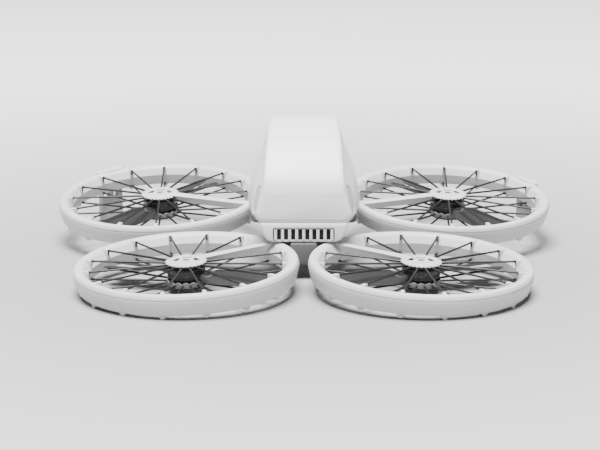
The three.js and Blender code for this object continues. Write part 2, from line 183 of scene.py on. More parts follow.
def moulded(name, colour, deep, rough, texture=0.25):
    """Injection-moulded plastic: spark-eroded grain, slow drifts of tone and a little handling shine."""
    pot = Pot(name, Specular_IOR_Level=0.45)
    drift = pot.steps(pot.noise(26, 2.0), 0.38, 0.66)
    speck = pot.steps(pot.noise(900, 2.0), 0.58, 0.72)
    tint = pot.between(drift, colour, deep)
    pot.set(Base_Color=pot.between(speck * 0.25, tint, deep))
    pot.set(Roughness=rough + 0.10 * pot.noise(60, 3.0) - 0.05)
    pot.bump(pot.grain(2600) + 0.6 * pot.noise(1500, 2.0), texture, 0.00006)
    return pot.material


def white_shell():
    return moulded("white_shell", shade(0.80, 0.80, 0.80), shade(0.755, 0.755, 0.76), 0.42)


def guard_white():
    return moulded("guard_white", shade(0.60, 0.60, 0.605), shade(0.55, 0.55, 0.555), 0.40, 0.2)


def pale_plastic():
    return moulded("pale_plastic", shade(0.50, 0.505, 0.51), shade(0.45, 0.455, 0.46), 0.46)


# The guards' white plastic darkened, to paint in the shade that falls on the legs' faces.
def leg_painted_shade():
    return moulded("leg_painted_shade", shade(0.40, 0.40, 0.405), shade(0.36, 0.36, 0.365), 0.45)


def crown_grey():
    return moulded("crown_grey", shade(0.20, 0.20, 0.205), shade(0.16, 0.16, 0.165), 0.38)


# Dark grey plastic; on the keels under the body its dark tone also paints in the shade that falls there.
def dark_plastic_and_shade():
    return moulded("dark_plastic_and_shade", shade(0.13, 0.132, 0.136), shade(0.095, 0.097, 0.10), 0.44, 0.3)


def spoke_nylon():
    """Glass-filled nylon rod: near black, with short pale fibres along it and a satin sheen."""
    pot = Pot("spoke_nylon", Specular_IOR_Level=0.5)
    fibre = pot.steps(pot.noise(1400, 4.0), 0.60, 0.78)
    pot.set(Base_Color=pot.between(fibre, shade(0.014, 0.014, 0.015), shade(0.045, 0.045, 0.047)))
    pot.set(Roughness=0.30 + 0.16 * pot.noise(240, 2.0))
    pot.bump(pot.noise(2400, 3.0), 0.15)
    return pot.material


def blade_plastic():
    """Thin moulded blade: charcoal, matt, with fine lines drawn out along the span."""
    pot = Pot("blade_plastic", Specular_IOR_Level=0.35)
    stretched = pot.node("ShaderNodeMapping", {}, {"Vector": pot.local(), "Scale": (1.0, 0.12, 1.0)})
    lines = pot.noise(2.2, 3.0, stretched)
    pot.set(Base_Color=pot.between(pot.steps(lines, 0.35, 0.7), shade(0.013, 0.013, 0.014),
                                   shade(0.021, 0.021, 0.022)))
    pot.set(Roughness=0.46 + 0.12 * lines)
    pot.bump(lines + 0.4 * pot.noise(1800, 2.0), 0.12)
    return pot.material


# A lighter grey for the root chevrons: a painted highlight at the blade root, with random mottling in it.
def root_painted_highlight():
    pot = Pot("root_painted_highlight")
    highlight_mottle = pot.steps(pot.noise(800, 3.0), 0.35, 0.75)
    pot.set(Base_Color=pot.between(highlight_mottle, shade(0.075, 0.075, 0.077), shade(0.045, 0.045, 0.046)))
    pot.set(Roughness=0.34 + 0.1 * highlight_mottle)
    return pot.material


def bell_black():
    """Anodised bell: black, with turned rings on it that show only in the gloss."""
    pot = Pot("bell_black", Metallic=0.1, Coat_Roughness=0.12)
    axial = pot.node("ShaderNodeSeparateXYZ", {}, {0: pot.local()}, 2)
    rings = pot.node("ShaderNodeMath", {"operation": "SINE"}, {0: axial * 24.0})
    pot.set(Base_Color=pot.between(pot.noise(300, 2.0), shade(0.004, 0.004, 0.0045),
                                   shade(0.009, 0.009, 0.010)))
    pot.set(Roughness=0.24 + 0.05 * rings + 0.06 * pot.noise(500, 2.0))
    pot.set(Coat_Weight=0.4 + 0.1 * rings)
    pot.bump(rings, 0.06)
    return pot.material


def copper_wire():
    """Enamelled wire wound round a tooth: the turns are lines across the coil."""
    pot = Pot("copper_wire", Metallic=0.85)
    axial = pot.node("ShaderNodeSeparateXYZ", {}, {0: pot.local()}, 2)
    turns = pot.node("ShaderNodeMath", {"operation": "SINE"}, {0: axial * 19.0})
    tone = pot.steps(turns, -1.0, 1.0)
    pot.set(Base_Color=pot.between(tone, shade(0.035, 0.024, 0.010), shade(0.15, 0.095, 0.040)))
    pot.set(Roughness=0.26 + 0.12 * tone)
    pot.bump(turns, 0.5, 0.00015)
    return pot.material


def brushed_steel():
    pot = Pot("brushed_steel", Metallic=1.0)
    lines = pot.noise(3000, 2.0)
    pot.set(Base_Color=pot.between(lines, shade(0.44, 0.44, 0.45), shade(0.60, 0.60, 0.61)))
    pot.set(Roughness=0.24 + 0.14 * lines)
    return pot.material


def cast_alloy():
    pot = Pot("cast_alloy", Metallic=0.9)
    cast = pot.noise(1200, 4.0)
    pot.set(Base_Color=pot.between(cast, shade(0.10, 0.10, 0.105), shade(0.20, 0.20, 0.21)))
    pot.set(Roughness=0.40 + 0.2 * cast)
    pot.bump(cast, 0.3)
    return pot.material


def cell_wrap():
    pot = Pot("cell_wrap")
    folds = pot.noise(90, 4.0)
    pot.set(Base_Color=pot.between(folds, shade(0.010, 0.011, 0.014), shade(0.026, 0.028, 0.034)))
    pot.set(Roughness=0.28 + 0.25 * folds)
    pot.bump(folds, 0.4, 0.0004)
    return pot.material


def solder_mask():
    pot = Pot("solder_mask")
    tracks = pot.steps(pot.grain(700), 0.10, 0.16)
    pot.set(Base_Color=pot.between(tracks, shade(0.05, 0.16, 0.09), shade(0.012, 0.065, 0.034)))
    pot.set(Roughness=0.30 + 0.15 * tracks)
    pot.bump(tracks, 0.3)
    return pot.material


def screen_black():
    pot = Pot("screen_black", Specular_IOR_Level=0.3)
    holes = pot.steps(pot.grain(1100), 0.15, 0.45)
    pot.set(Base_Color=pot.between(holes, shade(0.004, 0.004, 0.005), shade(0.022, 0.022, 0.024)))
    pot.set(Roughness=0.55 + 0.2 * holes)
    pot.bump(holes, 0.5)
    return pot.material


def lens_glass():
    """Coated lens front: almost black, with a violet cast that changes slowly across it."""
    pot = Pot("lens_glass", IOR=1.6, Coat_Roughness=0.02)
    cast = pot.noise(130, 1.0)
    pot.set(Base_Color=pot.between(cast, shade(0.004, 0.005, 0.012), shade(0.016, 0.008, 0.026)))
    pot.set(Roughness=0.03 + 0.03 * cast)
    pot.set(Coat_Weight=0.9 + 0.1 * cast)
    return pot.material


def smoked_window():
    pot = Pot("smoked_window", IOR=1.5)
    haze = pot.noise(220, 3.0)
    pot.set(Base_Color=pot.between(haze, shade(0.010, 0.010, 0.012), shade(0.020, 0.020, 0.024)))
    pot.set(Roughness=0.06 + 0.06 * haze)
    return pot.material


def rubber_flap():
    return moulded("rubber_flap", grey(0.42), grey(0.36), 0.60, 0.4)


def studio_floor():
    """Matt paper with a painted shadow pool: a little deeper in tone under the drone than far from it, which
    also dims the light the floor throws back up onto the drone.
    """
    pot = Pot("studio_floor", Specular_IOR_Level=0.0)
    away = pot.node("ShaderNodeVectorMath", {"operation": "LENGTH"}, {0: pot.place()}, 1)
    # Painted shadow: the paper's tone darkens towards the drone.
    pot.set(Base_Color=pot.between(pot.steps(away, 0.12, 0.75), grey(0.33), grey(0.82)))
    pot.set(Roughness=0.9 + 0.05 * pot.noise(40, 2.0))
    return pot.material


FINISH = {make.__name__: make() for make in (
    white_shell, guard_white, pale_plastic, leg_painted_shade, crown_grey, dark_plastic_and_shade, spoke_nylon,
    blade_plastic, root_painted_highlight, bell_black, copper_wire, brushed_steel, cast_alloy, cell_wrap,
    solder_mask, screen_black, lens_glass, smoked_window, rubber_flap, studio_floor)}


# ---------- making pieces ----------

def moved(bm, *matrices):
    for matrix in matrices:
        bmesh.ops.transform(bm, matrix=matrix, verts=bm.verts)
    return bm


def shift(x=0.0, y=0.0, z=0.0):
    return Matrix.Translation((x, y, z))


def turn(degrees, axis="Z"):
    return Matrix.Rotation(radians(degrees), 4, axis)


def join(*parts):
    """The parts as one bmesh."""
    whole = bmesh.new()
    for part in parts:
        mesh = bpy.data.meshes.new("part")
        part.to_mesh(mesh)
        whole.from_mesh(mesh)
        bpy.data.meshes.remove(mesh)
        part.free()
    return whole


def copies(make, matrices):
    return join(*(moved(make(), matrix) for matrix in matrices))


def tidy(bm):
    bmesh.ops.remove_doubles(bm, verts=bm.verts, dist=1e-4)
    bmesh.ops.recalc_face_normals(bm, faces=bm.faces)
    return bm


def softened(bm, width, segments=2, sharper=28):
    """Rounds every edge where two faces meet at more than the given angle."""
    tidy(bm)
    edges = [e for e in bm.edges if len(e.link_faces) == 2 and e.calc_face_angle(0) > radians(sharper)]
    bmesh.ops.bevel(bm, geom=edges, offset=width, segments=segments, profile=0.5, affect="EDGES",
                    material=-1, clamp_overlap=True)
    return bm


def turned(profile, steps=96):
    """A turned solid about Z, from a closed outline of (radius, height)."""
    bm = bmesh.new()
    verts = [bm.verts.new((r, 0, z)) for r, z in profile]
    edges = [bm.edges.new((a, b)) for a, b in zip(verts, verts[1:] + verts[:1])]
    bmesh.ops.spin(bm, geom=verts + edges, cent=(0, 0, 0), axis=(0, 0, 1), angle=tau, steps=steps,
                   use_merge=True)
    tidy(bm)
    bmesh.ops.delete(bm, geom=[e for e in bm.edges if not e.link_faces], context="EDGES")
    return bm


def loop_of(bm, points):
    verts = [bm.verts.new((x, y, 0)) for x, y in points]
    return [bm.edges.new((a, b)) for a, b in zip(verts, verts[1:] + verts[:1])]


def plate(outline, low, high, holes=()):
    """A flat outline of (x, y), with its holes, given thickness in Z."""
    bm = bmesh.new()
    edges = loop_of(bm, outline)
    for hole in holes:
        edges += loop_of(bm, hole)
    if holes:
        bmesh.ops.triangle_fill(bm, edges=edges, use_beauty=True)
    else:
        bmesh.ops.contextual_create(bm, geom=edges)
    raised = bmesh.ops.extrude_face_region(bm, geom=bm.faces[:])["geom"]
    lifted = [v for v in raised if isinstance(v, bmesh.types.BMVert)]
    bmesh.ops.translate(bm, vec=(0, 0, high - low), verts=lifted)
    return tidy(moved(bm, shift(z=low)))


def cuboid(x0, x1, y0, y1, z0, z1):
    return plate([(x0, y0), (x1, y0), (x1, y1), (x0, y1)], z0, z1)


def rod(radius, length, steps=12, tip=None):
    """A round bar along +Y from the origin."""
    bm = bmesh.new()
    bmesh.ops.create_cone(bm, cap_ends=True, segments=steps, radius1=radius,
                          radius2=radius if tip is None else tip, depth=length)
    return moved(bm, shift(z=length / 2), turn(-90, "X"))


def arc(radius, start, end, points, centre=(0, 0)):
    """Points on an arc, in degrees, counted from +Y towards +X."""
    for i in range(points + 1):
        angle = radians(start + (end - start) * i / points)
        yield (centre[0] + radius * sin(angle), centre[1] + radius * cos(angle))


def sideways(side=1):
    """Stands a plate up: its outline lies in Y and Z, and its thickness goes out to the side."""
    return Matrix(((0, 0, side, 0), (1, 0, 0, 0), (0, 1, 0, 0), (0, 0, 0, 1)))


def fin(outline, thick):
    """A fin along +Y: its outline is (radius, height) and its thickness is across X."""
    return moved(plate(outline, -thick / 2, thick / 2), sideways())


def capped(bm):
    """Closes the flat cuts left open in a solid."""
    bmesh.ops.triangle_fill(bm, edges=[e for e in bm.edges if e.is_boundary], use_beauty=True)
    return tidy(bm)


def piece(bm, name, finish, body, replaced=(), sharp=32, at=None):
    """Finishes a piece: remembers its own coordinates, puts it in place and hands it to its body."""
    own = [v.co.copy() for v in bm.verts]
    if at is not None:
        moved(bm, at)
    moved(bm, Matrix.Scale(MM, 4))
    mesh = bpy.data.meshes.new(name)
    bm.to_mesh(mesh)
    bm.free()
    store = mesh.attributes.new("local", "FLOAT_VECTOR", "POINT")
    store.data.foreach_set("vector", [c for co in own for c in co])
    mesh.shade_smooth()
    mesh.set_sharp_from_angle(angle=radians(sharp))
    made = bpy.data.objects.new(name, mesh)
    bpy.context.scene.collection.objects.link(made)
    mesh.materials.append(FINISH[finish])
    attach(made, body)
    if replaced:
        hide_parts(*replaced)


def baked(bm, cutters, operation="DIFFERENCE"):
    """The bmesh after each cutter has been taken from it, or kept to it."""
    for cutter in cutters:
        pair = []
        for part in (bm, cutter):
            mesh = bpy.data.meshes.new("blank")
            part.to_mesh(mesh)
            part.free()
            holder = bpy.data.objects.new("blank", mesh)
            bpy.context.scene.collection.objects.link(holder)
            pair.append(holder)
        knife = pair[0].modifiers.new("knife", "BOOLEAN")
        knife.object, knife.operation, knife.solver = pair[1], operation, "EXACT"
        result = pair[0].evaluated_get(bpy.context.evaluated_depsgraph_get()).to_mesh()
        bm = bmesh.new()
        bm.from_mesh(result)
        pair[0].to_mesh_clear()
        for holder in pair:
            mesh = holder.data
            bpy.data.objects.remove(holder)
            bpy.data.meshes.remove(mesh)
    return bm


# ---------- guards ----------

def guard_frame(tag):
    spin = JOINTS[f"spin_{tag}"]
    x, y, z = spin["axis"]
    centre = Vector(spin["pos_m"]) / MM
    nose, droop = atan2(-y, z), asin(x)
    return Matrix.Translation(centre) @ Matrix.Rotation(nose, 4, "X") @ Matrix.Rotation(droop, 4, "Y")


def around(side, angles):
    return [turn(side * angle) for angle in angles]


def spoke_angles(end, with_arm):
    return [end["spin"] + i * PITCH for i in range(SPOKES) if with_arm or i != end["arm"]]


RIM = [
    (52.9, -0.62), (53.9, -0.22), (54.9, -0.04), (55.9, -0.06), (56.8, -0.45), (57.3, -1.2), (57.56, -2.1),
    (57.58, -2.5), (57.2, -2.62), (57.2, -2.92), (57.64, -3.05), (57.68, -3.9), (57.3, -5.8), (56.7, -8.0),
    (56.0, -10.2), (55.5, -10.8), (54.7, -10.8), (54.5, -10.3), (55.3, -7.0), (55.9, -4.0), (55.0, -2.2),
    (53.6, -2.6), (52.0, -5.2), (51.9, -10.3), (51.7, -10.8), (51.0, -10.8), (50.8, -10.4), (50.4, -7.6),
    (50.0, -5.0), (50.15, -4.7), (51.9, -1.7), (52.3, -1.1),
]
GUSSET = [(49.9, -0.1), (51.0, 0.15), (54.6, -0.05), (54.4, -1.2), (52.6, -3.0), (50.9, -6.2), (49.9, -6.2)]


def tooth():
    blunt = [(-2.7, 0), (-0.95, -2.2), (-0.5, -2.5), (0.5, -2.5), (0.95, -2.2), (2.7, 0)]
    body = moved(plate(blunt, -1.6, 1.6), turn(90, "X"))
    return moved(softened(body, 0.25), shift(0, 53.6, -10.25))


def leaf(reach, low, high, half, wall=KNUCKLE, bore=1.05):
    """A hinge leaf: round about the pin on Z, with a web along +X."""
    outline = [(-y, x) for x, y in arc(wall, -90, 90, 14)] + [(reach, half), (reach, -half)]
    hole = list(arc(bore, 0, 345, 23))
    return softened(plate(outline, low, high, [hole]), 0.28)


def hinge_frame(tag, centre):
    joint = JOINTS[f"fold_{tag}"]
    axis = Vector(joint["axis"]).normalized()
    point = Vector(joint["pos_m"]) / MM
    out = centre - point
    out = (out - axis * out.dot(axis)).normalized()
    across = axis.cross(out)
    return Matrix((
        (out.x, across.x, axis.x, point.x), (out.y, across.y, axis.y, point.y),
        (out.z, across.z, axis.z, point.z), (0, 0, 0, 1)))


def leg_boss():
    """The swelling on the ring that a leg hangs from."""
    section = [(LEG_RADIUS - 0.2 + y * 0.36, x) for x, y in arc(9.6, 0, 352, 44)]
    block = plate([(x, r) for r, x in section], -RING_HEIGHT - 0.05, 0.9)
    return softened(block, 0.8, 3)


def rim(tag, end, side, place, hinge, leg_angle):
    parts = [turned(RIM, 160), copies(tooth, around(side, spoke_angles(end, True)))]
    parts.append(copies(lambda: softened(fin(GUSSET, 1.9), 0.35, 2), around(side, spoke_angles(end, False))))
    half = LEAF / 2
    parts.append(moved(leaf(LEAF_REACH, -half, half, KNUCKLE), place.inverted() @ hinge))
    if leg_angle:
        parts.append(moved(leg_boss(), turn(-side * leg_angle)))
    piece(join(*parts), f"guard_rim_{tag}", "guard_white", f"guard_{tag}", [f"guard_ring_{tag}"], at=place)


def hub_disc():
    """The fixed disc over the motor: a notched edge, three curved slots and a raised ring."""
    notches, wide = 30, 12
    edge = []
    for i in range(notches):
        start = i * wide
        edge += [*arc(HUB_DISC, start, start + 6.2, 2), *arc(HUB_DISC - 0.8, start + 7.2, start + 11.0, 2)]
    slots = []
    for middle in (-62, 0, 62):
        slots.append([*arc(7.0, middle - 24, middle + 24, 9), *arc(4.5, middle + 24, middle - 24, 9)])
    hole = list(arc(1.9, 0, 350, 35))
    disc = softened(plate(edge, -0.25, 0.35, [*slots, hole]), 0.12)
    ring = turned([(1.9, 0.3), (1.9, 0.85), (2.15, 1.0), (3.3, 1.0), (3.7, 0.8), (3.9, 0.3)], 48)
    lip = turned([(7.9, 0.3), (8.1, 0.62), (8.5, 0.75), (9.1, 0.75), (9.5, 0.55), (9.6, 0.3)], 72)
    skirt = turned([(8.6, -0.2), (9.4, -0.2), (9.4, -0.85), (9.1, -1.0), (8.8, -1.0), (8.6, -0.85)], 72)
    return join(disc, ring, lip, skirt)


def arm_beam():
    """The arm from the disc to the ring: its top is flat and its flanks lean in."""
    outline = [
        (8.2, 0.62), (9.8, 0.78), (RING_INNER - 3, -0.3), (53.8, -0.15), (53.8, -2.4), (50.3, -3.6),
        (50.3, -6.2), (47.9, -6.3), (46.8, -4.6), (44.5, -4.05), (12.6, -3.5), (11.3, -2.9),
        (11.1, -0.05), (8.2, -0.05),
    ]
    bm = fin(outline, 4.6)
    for v in bm.verts:
        if v.co.y < 14:
            v.co.x *= 1.3
        if v.co.z < -2:
            v.co.x *= 0.55
    return softened(bm, 1.0, 4, 20)


def arm(tag, end, side, place):
    beam = moved(arm_beam(), turn(side * (end["spin"] + end["arm"] * PITCH)))
    piece(join(hub_disc(), beam), f"arm_and_disc_{tag}", "guard_white", f"guard_{tag}", [f"arm_{tag}"],
          at=place)


def spoke(inner, outer, start, finish, radius):
    """One rod from the hub to its seat, thicker near the hub and with a stepped end in the ring."""
    length = outer - inner
    slope = turn(degrees(atan2(finish - start, length)), "X")
    bar = moved(rod(radius * 1.12, length, 12, radius * 0.92), slope)
    collar = moved(rod(radius * 1.35, 1.4, 12, radius * 1.2), shift(0, length - 1.6, finish - start))
    return moved(join(bar, collar), shift(0, inner, start))


def hooked(rod_bm, radius, at):
    """The rod with its end turned down over the edge of its gusset."""
    return join(rod_bm, moved(rod(radius, HOOK_DROP, 12), turn(HOOK_LEAN, "X"), shift(0, *at)))


def spokes(tag, end, side, place):
    def high():
        return hooked(spoke(8.9, SEAT, -0.95, -0.55, ROD), HOOK, (SEAT - HOOK, -0.5))

    def low():
        return spoke(10.2, RING_INNER + 0.9, -10.3, -10.2, ROD)

    upper_ring = turned([(8.7, -0.3), (8.7, -1.3), (9.7, -1.3), (9.7, -0.3)], 64)
    lower_ring = turned([(8.6, -12.2), (8.6, -12.5), (9.6, -12.5), (9.7, -11.9), (9.5, -11.9)], 64)
    upper = join(copies(high, around(side, spoke_angles(end, False))), upper_ring)
    lower = join(copies(low, around(side, spoke_angles(end, True))), lower_ring)
    piece(upper, f"upper_rods_{tag}", "spoke_nylon", f"guard_{tag}", [f"upper_spokes_{tag}"],
          at=place)
    piece(lower, f"lower_rods_{tag}", "spoke_nylon", f"guard_{tag}", [f"lower_spokes_{tag}"],
          at=place)


def crown(tag, place):
    """The cup under the motor. Its rim rises in a scallop between each pair of spokes."""
    bm = turned([
        (0, -12.2), (8.6, -12.2), (9.7, -11.7), (10.3, -10.9), (10.45, -10.3), (10.4, -9.0), (10.25, -8.8),
        (9.95, -8.8), (9.8, -9.0), (9.7, -11.0), (9.2, -11.4), (0, -11.4),
    ], SPOKES * 8)
    for v in bm.verts:
        radius = sqrt(v.co.x ** 2 + v.co.y ** 2)
        if radius > 9.7 and v.co.z > -9.3:
            v.co.z += 0.9 * abs(cos(SPOKES / 2 * atan2(v.co.y, v.co.x))) - 0.55
    piece(bm, f"crown_{tag}", "crown_grey", f"guard_{tag}", [f"lower_hub_{tag}"],
          at=place)


def windings(tag, place):
    """Twelve wound teeth round the stator's core."""
    core = turned([(1.4, -6.8), (4.2, -6.8), (4.4, -0.6), (1.4, -0.6)], 40)

    def coil():
        block = plate([(-1.35, 4.2), (1.35, 4.2), (1.75, 7.7), (-1.75, 7.7)], -5.9, -0.9)
        shoe = plate([*arc(8.1, -12.5, 12.5, 6), *arc(7.6, 12.5, -12.5, 6)], -6.2, -1.2)
        return join(softened(block, 0.55, 3), shoe)

    coils = copies(coil, around(1, [30 * i for i in range(12)]))
    piece(join(core, coils), f"windings_{tag}", "copper_wire", f"guard_{tag}", [f"motor_stator_{tag}"],
          at=place)


def bell(tag, place):
    """The turning can of the motor, with its shaft. A step near the top carries the magnets' ring."""
    can = turned([
        (0, -10.9), (1.0, -10.9), (1.0, -8.6), (8.3, -8.6), (8.9, -8.45), (9.3, -8.0), (9.45, -7.3),
        (9.68, -3.0), (9.62, -2.4), (9.4, -2.05), (9.1, -2.0), (8.65, -2.1), (8.6, -7.2), (8.2, -7.5),
        (1.0, -7.5), (1.0, -0.6), (0, -0.6),
    ], 96)
    piece(can, f"bell_{tag}", "bell_black", f"rotor_{tag}", [f"motor_bell_{tag}"], at=place)


def blade():
    """One blade along +Y: cambered, thin at its edges and twisted less towards its tip."""
    bm = bmesh.new()
    bmesh.ops.create_grid(bm, x_segments=10, y_segments=36, size=0.5)
    raised = bmesh.ops.extrude_face_region(bm, geom=bm.faces[:])["geom"]
    bmesh.ops.translate(bm, vec=(0, 0, 1), verts=[v for v in raised if isinstance(v, bmesh.types.BMVert)])
    for v in bm.verts:
        chord, along, upper = v.co.x * 2, v.co.y + 0.5, v.co.z - 0.5
        grow = min(1.0, 0.42 + along * 3.2)
        tip = sqrt(max(0.0, 1 - max(0.0, (along - 0.80) / 0.20) ** 2.4))
        width = (BLADE_CHORD - 1.6 * along ** 1.5) * grow * max(tip, 0.04)
        sweep = 0.5 - 1.6 * along ** 2
        twist = radians(BLADE_PITCH * (1.35 - 0.75 * along))
        thick = (BLADE_THICK - 0.4 * along) * (1 - 0.7 * chord * chord)
        x, z = chord * width + sweep, 0.45 * (1 - chord * chord) * (1 - 0.6 * along) + upper * thick
        y = BLADE_ROOT + along * (BLADE_TIP - BLADE_ROOT)
        v.co = (x * cos(twist) + z * sin(twist), y, z * cos(twist) - x * sin(twist))
    return tidy(bm)


def root_mark():
    """A raised chevron near the root of a blade, finished lighter as a painted highlight."""
    arrow = [(-2.2, 13.4), (0.2, 14.8), (2.3, 13.0), (2.3, 14.2), (0.2, 16.2), (-2.2, 14.7)]
    return moved(softened(plate(arrow, 0.0, 0.3), 0.07), turn(BLADE_PITCH * 1.2, "Y"), shift(0, 0, 0.72))


def propeller(tag, end, side, place):
    flip = Matrix.Diagonal((side * end["hand"], 1, 1, 1))
    turns = [turn(side * (end["blades"] + a)) @ shift(z=BLADE_Z) @ flip
             for a in (0, BLADE_PAIR, 180, 180 + BLADE_PAIR)]
    ring = turned([(9.5, -7.2), (9.8, -7.3), (9.95, -7.1), (9.95, -5.5), (9.8, -5.3), (9.6, -5.4)], 72)
    blades = tidy(join(ring, copies(blade, turns)))
    piece(blades, f"blades_{tag}", "blade_plastic", f"rotor_{tag}", [f"propeller_{tag}"],
          at=place)
    # The chevrons take the lighter finish: a painted highlight.
    marks = tidy(copies(root_mark, turns))
    piece(marks, f"root_painted_highlights_{tag}", "root_painted_highlight", f"rotor_{tag}", (), at=place)


def arch(middle, half, top, tall=4.0):
    """The outline of a pocket with a round head."""
    return [(middle + half, top - tall), (middle - half, top - tall),
            *arc(half, -90, 90, 8, (middle, top - half))]


def leg(side_name, side, angle, place, centre):
    """A landing leg: a rounded blade with two arched pockets through it just under the ring."""
    half, toe = LEG_WIDTH / 2, LEG_TOE
    top = (place @ turn(-side * angle) @ Vector((0, LEG_RADIUS, -RING_HEIGHT))).z
    outline = [(-half, top + 5), *arc(toe, 270, 180, 6, (toe - half, toe)),
               *arc(toe, 180, 90, 6, (half - toe, toe)), (half, top + 5)]
    pockets = [arch(side * middle, reach, top - POCKET_DROP) for middle, reach in POCKETS]
    bm = moved(plate(outline, -LEG_THICK / 2, LEG_THICK / 2, pockets), turn(90, "X"))
    softened(bm, 0.45, 3, 50)
    moved(bm, shift(0, LEG_RADIUS, 0), turn(-side * angle), shift(centre.x, centre.y, 0))
    from_ring_up = moved(cuboid(-80, 80, -80, 80, -RING_HEIGHT - 0.05, 60), place)
    # The leg takes the darkened white: painted shade.
    piece(tidy(baked(bm, [from_ring_up])), f"leg_{side_name}", "leg_painted_shade", f"guard_front_{side_name}",
          [f"landing_leg_{side_name}"])


def pin(tag, hinge):
    """A fold pin with a domed head at each end."""
    half = LEAF / 2 + LUG + GAP
    profile = [(0, -half), (0.7, -half), (0.9, -half + 0.2), (0.9, half - 0.2), (0.7, half), (0, half)]
    piece(turned(profile, 32), f"fold_pin_{tag}", "brushed_steel", "body", [f"hinge_pin_{tag}"],
          at=hinge)


def add_guard(end_name, side_name):
    end, side, tag = ENDS[end_name], SIDES[side_name], f"{end_name}_{side_name}"
    place = guard_frame(tag)
    centre = place.to_translation()
    hinge = hinge_frame(tag, centre)
    leg_angle = LEG_ANGLE[side_name] if end_name == "front" else 0
    rim(tag, end, side, place, hinge, leg_angle)
    arm(tag, end, side, place)
    spokes(tag, end, side, place)
    crown(tag, place)
    windings(tag, place)
    bell(tag, place)
    propeller(tag, end, side, place)
    pin(tag, hinge)
    if leg_angle:
        leg(side_name, side, leg_angle, place, centre)
    return hinge


# ---------- body ----------

def smooth_row(y):
    """Top height and half widths at y, on a smooth curve through the stations."""
    last = len(STATIONS) - 1
    i = max(k for k in range(last) if STATIONS[k][0] <= max(y, BACK))
    near = [STATIONS[min(max(k, 0), last)] for k in (i - 1, i, i + 1, i + 2)]
    t = (y - near[1][0]) / (near[2][0] - near[1][0])
    span = near[2][0] - near[1][0]
    row = []
    for c in (1, 2, 3):
        before = (near[2][c] - near[0][c]) / max(near[2][0] - near[0][0], 1) * span
        after = (near[3][c] - near[1][c]) / max(near[3][0] - near[1][0], 1) * span
        row.append((2 * t ** 3 - 3 * t ** 2 + 1) * near[1][c] + (t ** 3 - 2 * t ** 2 + t) * before
                   + (3 * t ** 2 - 2 * t ** 3) * near[2][c] + (t ** 3 - t ** 2) * after)
    return row


def section(y, inset):
    """One cross-section of the body, as (x, z) round from the middle of the belly."""
    top, upper, lower = smooth_row(y)
    top, upper, lower, low = top - inset - 0.2, upper - inset, lower - inset, BELLY + inset
    lean, rise, bend = lower - upper, top - low, 2.6
    flank = [
        (lower - 3.4, low), (lower - 1.8, low + 0.35), (lower - 0.6, low + 1.4), (lower - 0.1, low + 3.1),
        (lower, low + 5.2), (lower - 0.12 * lean, low + 0.30 * rise),
        (lower - 0.38 * lean, low + 0.52 * rise),
        (upper + 0.30 * lean, low + 0.72 * rise), (upper + 0.45, top - bend - 1.2),
    ]
    crest = list(arc(bend, 80, 10, 6, (upper - bend + 0.3, top - bend)))
    half = [(0, low), (lower * 0.4, low), *flank, *crest, (upper * 0.72, top + 0.02),
            (upper * 0.4, top + 0.08)]
    return half + [(0, top + 0.1)] + [(-x, z) for x, z in reversed(half[1:])]


def body_form(inset=0.0, edge=1.9):
    """The outside of the body, or a smaller body inside it: one section drawn along the stations."""
    back, nose, steps = BACK + inset, NOSE - inset, 44
    rows = [(back + edge * (1 - cos(radians(a))), inset + edge * (1 - sin(radians(a))))
            for a in (0, 22, 45, 68, 90)]
    rows += [(back + edge + (nose - back - 2 * edge) * i / steps, inset) for i in range(1, steps)]
    rows += [(nose - edge * (1 - cos(radians(a))), inset + edge * (1 - sin(radians(a))))
             for a in (90, 60, 30, 0)]
    bm = bmesh.new()
    verts = [bm.verts.new((x, rows[0][0], z)) for x, z in section(*rows[0])]
    loop = [bm.edges.new((a, b)) for a, b in zip(verts, verts[1:] + verts[:1])]
    bmesh.ops.contextual_create(bm, geom=loop)
    for y, shrink in rows[1:]:
        order = {v: i for i, v in enumerate(verts)}
        grown = bmesh.ops.extrude_edge_only(bm, edges=loop)["geom"]
        fresh = [g for g in grown if isinstance(g, bmesh.types.BMVert)]
        follow = {}
        for vert in fresh:
            for link in vert.link_edges:
                old = link.other_vert(vert)
                if old in order:
                    follow[order[old]] = vert
        verts = [follow[i] for i in range(len(verts))]
        for vert, (x, z) in zip(verts, section(y, shrink)):
            vert.co = (x, y, z)
        ends = set(verts)
        loop = [g for g in grown if isinstance(g, bmesh.types.BMEdge) and set(g.verts) <= ends]
    bmesh.ops.contextual_create(bm, geom=loop)
    return tidy(bm)


def below(bm, top):
    """What lies under a height, with the cut closed."""
    bmesh.ops.bisect_plane(bm, geom=[*bm.verts, *bm.edges, *bm.faces], dist=1e-4, plane_co=(0, 0, top),
                           plane_no=(0, 0, 1), clear_outer=True)
    return capped(bm)


def skin(region, thick=SHELL):
    """The wall of the body where it lies inside a block."""
    return baked(baked(body_form(), [body_form(thick)]), [region], "INTERSECT")


def battery_region():
    return cuboid(-PAST, PAST, BACK - 5, SEAM_Y, SEAM_Z, OVER)


def canopy_region():
    return cuboid(-PAST, PAST, SEAM_Y + GAP, NOSE + 5, SEAM_Z, OVER)


def side_oval(at, radii, side, grow=0.0):
    outline = [(at[0] + (radii[0] + grow) * x, at[1] + (radii[1] + grow) * z)
               for x, z in arc(1, 0, 352.5, 47)]
    return tidy(moved(plate(outline, 12, 50), sideways(side)))


